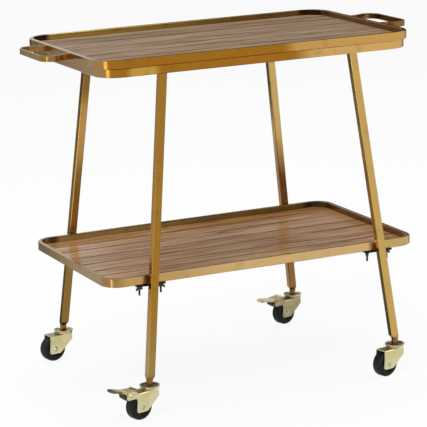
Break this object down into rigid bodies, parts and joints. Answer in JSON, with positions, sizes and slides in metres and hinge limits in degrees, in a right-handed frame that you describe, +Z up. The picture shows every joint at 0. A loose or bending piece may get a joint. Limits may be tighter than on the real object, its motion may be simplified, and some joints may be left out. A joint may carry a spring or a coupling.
{
  "type": "bar cart",
  "caption": "Rolling bar cart: splayed square-tube frame in aged brass with a lift-off handled serving tray, a railed lower shelf and plank decks, on swivel castors with foot brakes.",
  "frame": {"origin": "on the floor, under the middle of the cart with its castors as they stand", "axes": "+Z up, +X along the cart's length to the right, -Y to the front"},
  "size_m": [0.961, 0.6041, 0.8295],
  "materials": {
    "brass_frame": "aged, satin",
    "steel_sheet": "dark, satin",
    "tray_wood": "weathered planks, low sheen",
    "shelf_wood": "weathered planks, low sheen",
    "dark_steel": "blackened",
    "castor_brass": "pale yellow plating, glossy",
    "castor_steel": "plated",
    "tyre_rubber": "matte black",
    "wheel_plastic": "black, moulded",
    "brake_rubber": "matte black"
  },
  "bodies": {
    "cart": {"top_frame": "brass_frame", "shelf_rail": "brass_frame", "shelf_base_sheet": "steel_sheet", "shelf_boards": "shelf_wood", "shelf_studs": "dark_steel", "wing_nuts": "dark_steel", "leg_fl": "brass_frame", "shelf_bracket_fl": "dark_steel", "castor_fl_stem": "castor_brass", "leg_fr": "brass_frame", "shelf_bracket_fr": "dark_steel", "castor_fr_stem": "castor_brass", "leg_bl": "brass_frame", "shelf_bracket_bl": "dark_steel", "castor_bl_stem": "castor_brass", "leg_br": "brass_frame", "shelf_bracket_br": "dark_steel", "castor_br_stem": "castor_brass"},
    "tray": {"tray_rail": "brass_frame", "tray_base_sheet": "steel_sheet", "tray_boards": "tray_wood", "tray_handle_left": "brass_frame", "tray_handle_right": "brass_frame"},
    "castor_fl": {"castor_fl_ball_ring": "castor_steel", "castor_fl_fork": "castor_brass", "castor_fl_axle": "castor_steel", "castor_fl_brake_pin": "castor_steel"},
    "wheel_fl": {"castor_fl_tyre": "tyre_rubber", "castor_fl_hub": "wheel_plastic"},
    "brake_fl": {"castor_fl_brake_pedal": "castor_brass", "castor_fl_brake_shoe": "brake_rubber"},
    "castor_fr": {"castor_fr_ball_ring": "castor_steel", "castor_fr_fork": "castor_brass", "castor_fr_axle": "castor_steel"},
    "wheel_fr": {"castor_fr_tyre": "tyre_rubber", "castor_fr_hub": "wheel_plastic"},
    "castor_bl": {"castor_bl_ball_ring": "castor_steel", "castor_bl_fork": "castor_brass", "castor_bl_axle": "castor_steel"},
    "wheel_bl": {"castor_bl_tyre": "tyre_rubber", "castor_bl_hub": "wheel_plastic"},
    "castor_br": {"castor_br_ball_ring": "castor_steel", "castor_br_fork": "castor_brass", "castor_br_axle": "castor_steel", "castor_br_brake_pin": "castor_steel"},
    "wheel_br": {"castor_br_tyre": "tyre_rubber", "castor_br_hub": "wheel_plastic"},
    "brake_br": {"castor_br_brake_pedal": "castor_brass", "castor_br_brake_shoe": "brake_rubber"}
  },
  "joints": [
    {"name": "tray_lift", "type": "slide", "parent": "cart", "child": "tray", "axis": [0, 0, 1], "range_m": [0, 0.12]},
    {"name": "castor_fl_swivel", "type": "hinge", "parent": "cart", "child": "castor_fl", "pos_m": [-0.32553, -0.26077, 0.0714], "axis": [0, 0, 1], "continuous": true},
    {"name": "wheel_fl_roll", "type": "hinge", "parent": "castor_fl", "child": "wheel_fl", "pos_m": [-0.35789, -0.26944, 0.0315], "axis": [0.2588, -0.9659, 0], "continuous": true},
    {"name": "brake_fl_press", "type": "hinge", "parent": "castor_fl", "child": "brake_fl", "pos_m": [-0.38928, -0.27785, 0.066], "axis": [0.2588, -0.9659, 0], "range_deg": [0, 8]},
    {"name": "castor_fr_swivel", "type": "hinge", "parent": "cart", "child": "castor_fr", "pos_m": [0.32553, -0.26077, 0.0714], "axis": [0, 0, 1], "continuous": true},
    {"name": "wheel_fr_roll", "type": "hinge", "parent": "castor_fr", "child": "wheel_fr", "pos_m": [0.29303, -0.26888, 0.0315], "axis": [0.2419, -0.9703, 0], "continuous": true},
    {"name": "castor_bl_swivel", "type": "hinge", "parent": "cart", "child": "castor_bl", "pos_m": [-0.32553, 0.27777, 0.0714], "axis": [0, 0, 1], "continuous": true},
    {"name": "wheel_bl_roll", "type": "hinge", "parent": "castor_bl", "child": "wheel_bl", "pos_m": [-0.35852, 0.27195, 0.0315], "axis": [0.1736, -0.9848, 0], "continuous": true},
    {"name": "castor_br_swivel", "type": "hinge", "parent": "cart", "child": "castor_br", "pos_m": [0.32553, 0.27777, 0.0714], "axis": [0, 0, 1], "continuous": true},
    {"name": "wheel_br_roll", "type": "hinge", "parent": "castor_br", "child": "wheel_br", "pos_m": [0.29333, 0.26854, 0.0315], "axis": [0.2756, -0.9613, 0], "continuous": true},
    {"name": "brake_br_press", "type": "hinge", "parent": "castor_br", "child": "brake_br", "pos_m": [0.26209, 0.25958, 0.066], "axis": [0.2756, -0.9613, 0], "range_deg": [-8, 0]}
  ]
}
